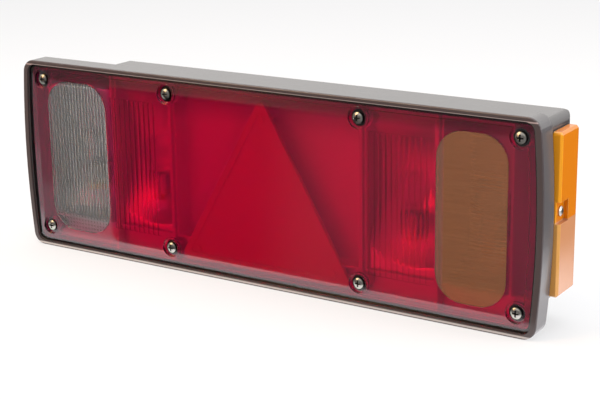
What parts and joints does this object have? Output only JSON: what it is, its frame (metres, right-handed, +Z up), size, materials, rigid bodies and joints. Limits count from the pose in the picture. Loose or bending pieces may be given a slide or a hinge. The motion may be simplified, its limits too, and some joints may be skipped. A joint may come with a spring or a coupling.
{
  "type": "tail light cluster",
  "caption": "Wide rear combination lamp with red lens, clear and amber windows, triangle reflex reflector, amber end side marker and rear studs.",
  "frame": {"origin": "on the rear mounting face, in the middle between the four studs", "axes": "+X along the lamp's width towards the side marker, +Y out of the rear face along the studs, +Z up; the lens faces -Y"},
  "size_m": [0.4462, 0.078, 0.15],
  "materials": {
    "housing_plastic": "moulded, low sheen",
    "red_acrylic": "clear red, moulded and polished",
    "clear_acrylic": "clear, with upright flutes",
    "amber_acrylic": "clear amber, ribbed",
    "metallised_plastic": "vacuum metallised",
    "zinc_steel": "zinc plated",
    "spring_brass": "rolled strip",
    "bulb_glass": "blown, clear",
    "cap_metal": "drawn, nickel washed",
    "gasket_rubber": "moulded",
    "terminal_plastic": "moulded, natural"
  },
  "bodies": {
    "root": {"housing": "housing_plastic", "lens_gasket": "gasket_rubber", "red_lens": "red_acrylic", "reversing_window": "clear_acrylic", "indicator_window": "amber_acrylic", "lens_screws": "zinc_steel", "triangle_reflector": "red_acrylic", "triangle_caps": "housing_plastic", "reversing_tray": "metallised_plastic", "stop_tray": "metallised_plastic", "fog_tray": "metallised_plastic", "indicator_tray": "metallised_plastic", "middle_plate": "metallised_plastic", "reversing_holder": "zinc_steel", "stop_holder": "zinc_steel", "fog_holder": "zinc_steel", "indicator_holder": "zinc_steel", "reversing_glass": "bulb_glass", "stop_glass": "bulb_glass", "fog_glass": "bulb_glass", "indicator_glass": "bulb_glass", "reversing_cap": "cap_metal", "stop_cap": "cap_metal", "fog_cap": "cap_metal", "indicator_cap": "cap_metal", "reversing_contact": "spring_brass", "stop_contact": "spring_brass", "fog_contact": "spring_brass", "indicator_contact": "spring_brass", "holder_rivets": "zinc_steel", "terminal_block": "terminal_plastic", "terminal_screws": "spring_brass", "earth_strip": "spring_brass", "earth_strip_screws": "zinc_steel", "cable_grommet": "gasket_rubber", "vent_plug": "housing_plastic", "mounting_studs": "zinc_steel", "marker_gasket": "gasket_rubber", "marker_lens": "amber_acrylic", "marker_reflex": "amber_acrylic", "marker_screw": "zinc_steel", "marker_clips": "spring_brass", "festoon_glass": "bulb_glass", "festoon_caps": "cap_metal"}
  },
  "joints": []
}
